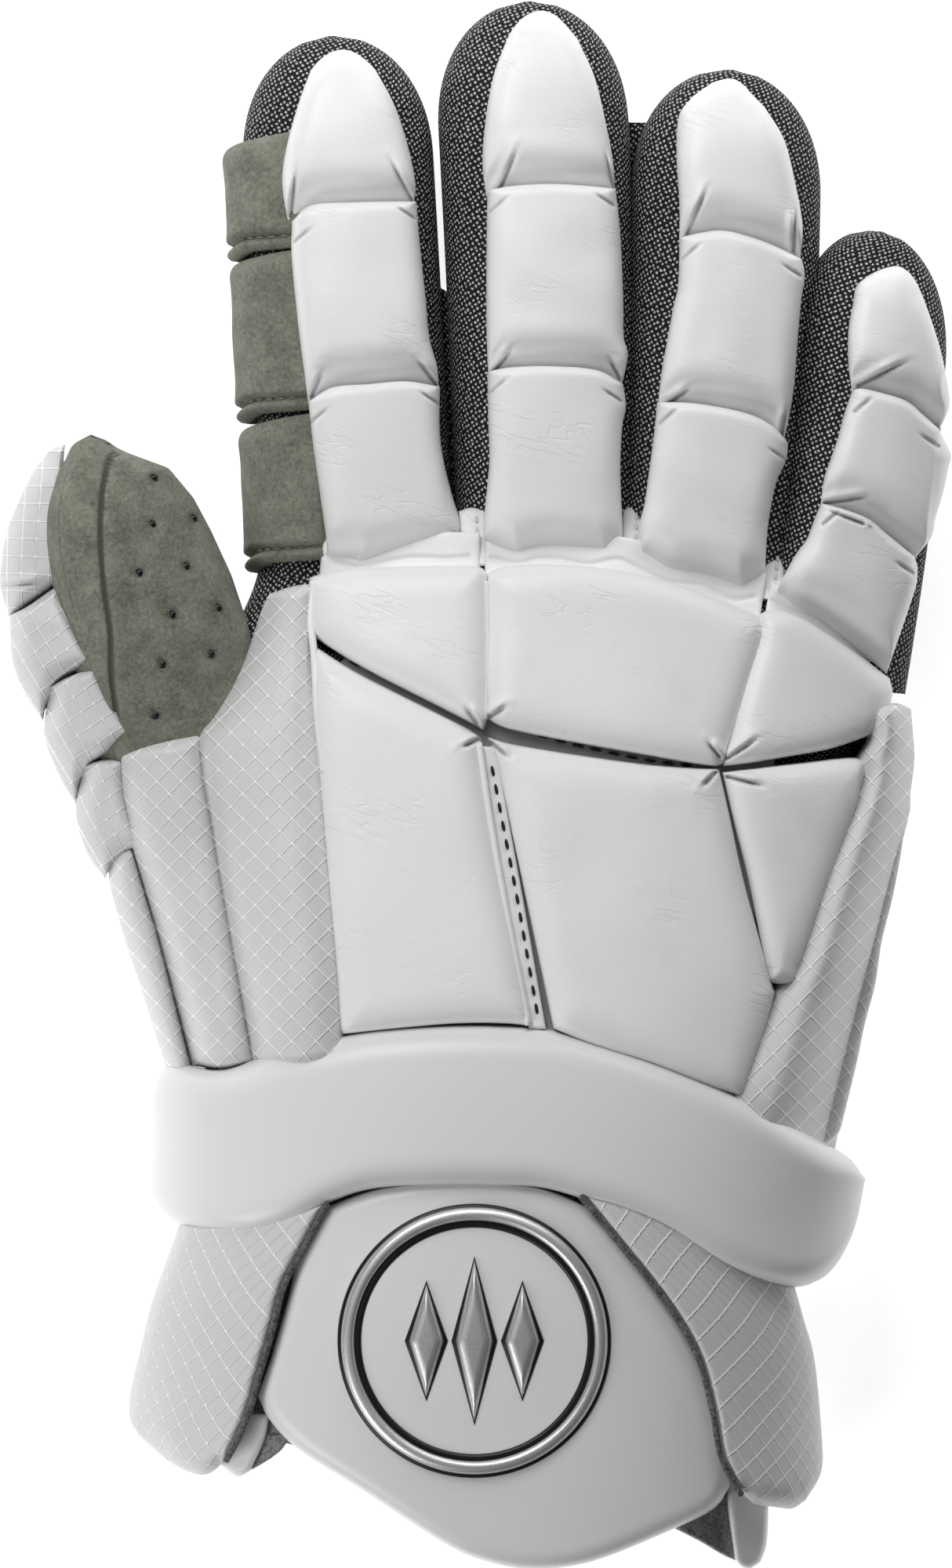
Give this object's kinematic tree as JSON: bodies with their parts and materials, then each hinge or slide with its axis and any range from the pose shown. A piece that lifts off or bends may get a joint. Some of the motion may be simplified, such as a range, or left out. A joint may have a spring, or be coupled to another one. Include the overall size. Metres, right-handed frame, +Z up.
{
  "type": "lacrosse glove",
  "caption": "White padded lacrosse glove for the right hand, lying palm down, with segmented finger pads, a moulded wrist band and a flared cuff.",
  "frame": {"origin": "middle of the footprint, on the surface that the palm lies on", "axes": "+Y along the fingers, +X from the thumb to the little finger, +Z up out of the back of the hand"},
  "size_m": [0.2026, 0.3306, 0.0667],
  "materials": {
    "smooth_leather": "satin white synthetic leather",
    "embossed_leather": "white synthetic leather with a raised diamond net",
    "knit_mesh": "open black and grey knitted mesh",
    "palm_suede": "grey napped suede",
    "cuff_lining": "pale brushed lining",
    "moulded_rubber": "satin white moulded rubber",
    "satin_metal": "satin silver plating"
  },
  "bodies": {
    "root": {"palm": "palm_suede", "hand_liner": "knit_mesh", "cuff_liner": "cuff_lining", "index_sleeve": "knit_mesh", "middle_sleeve": "knit_mesh", "ring_sleeve": "knit_mesh", "little_sleeve": "knit_mesh", "index_underside": "palm_suede", "middle_underside": "palm_suede", "ring_underside": "palm_suede", "little_underside": "palm_suede", "thumb_face": "palm_suede", "thumb_gusset": "palm_suede", "thumb_pad_4": "embossed_leather", "thumb_pad_3": "embossed_leather", "thumb_pad_2": "embossed_leather", "thumb_pad_1": "embossed_leather", "index_pad_3": "smooth_leather", "index_pad_2": "smooth_leather", "index_pad_1": "smooth_leather", "middle_pad_3": "smooth_leather", "middle_pad_2": "smooth_leather", "middle_pad_1": "smooth_leather", "ring_pad_3": "smooth_leather", "ring_pad_2": "smooth_leather", "ring_pad_1": "smooth_leather", "little_pad_3": "smooth_leather", "little_pad_2": "smooth_leather", "little_pad_1": "smooth_leather", "index_side_patch_3": "palm_suede", "index_side_patch_2": "palm_suede", "index_side_patch_1": "palm_suede", "knuckle_flange_index": "smooth_leather", "knuckle_flange_middle": "smooth_leather", "knuckle_pad_index": "smooth_leather", "knuckle_pad_middle": "smooth_leather", "knuckle_pad_little": "smooth_leather", "back_pad_index": "smooth_leather", "back_pad_middle": "smooth_leather", "back_pad_little": "smooth_leather", "side_panel_thumb_1": "embossed_leather", "side_panel_thumb_2": "embossed_leather", "side_panel_thumb_3": "embossed_leather", "side_panel_little_1": "embossed_leather", "side_panel_little_2": "embossed_leather", "wrist_band": "moulded_rubber", "cuff_plate": "moulded_rubber", "cuff_wing_thumb": "embossed_leather", "cuff_wing_little": "embossed_leather", "badge_ring": "satin_metal", "badge_mark_1": "satin_metal", "badge_mark_2": "satin_metal", "badge_mark_3": "satin_metal"}
  },
  "joints": []
}
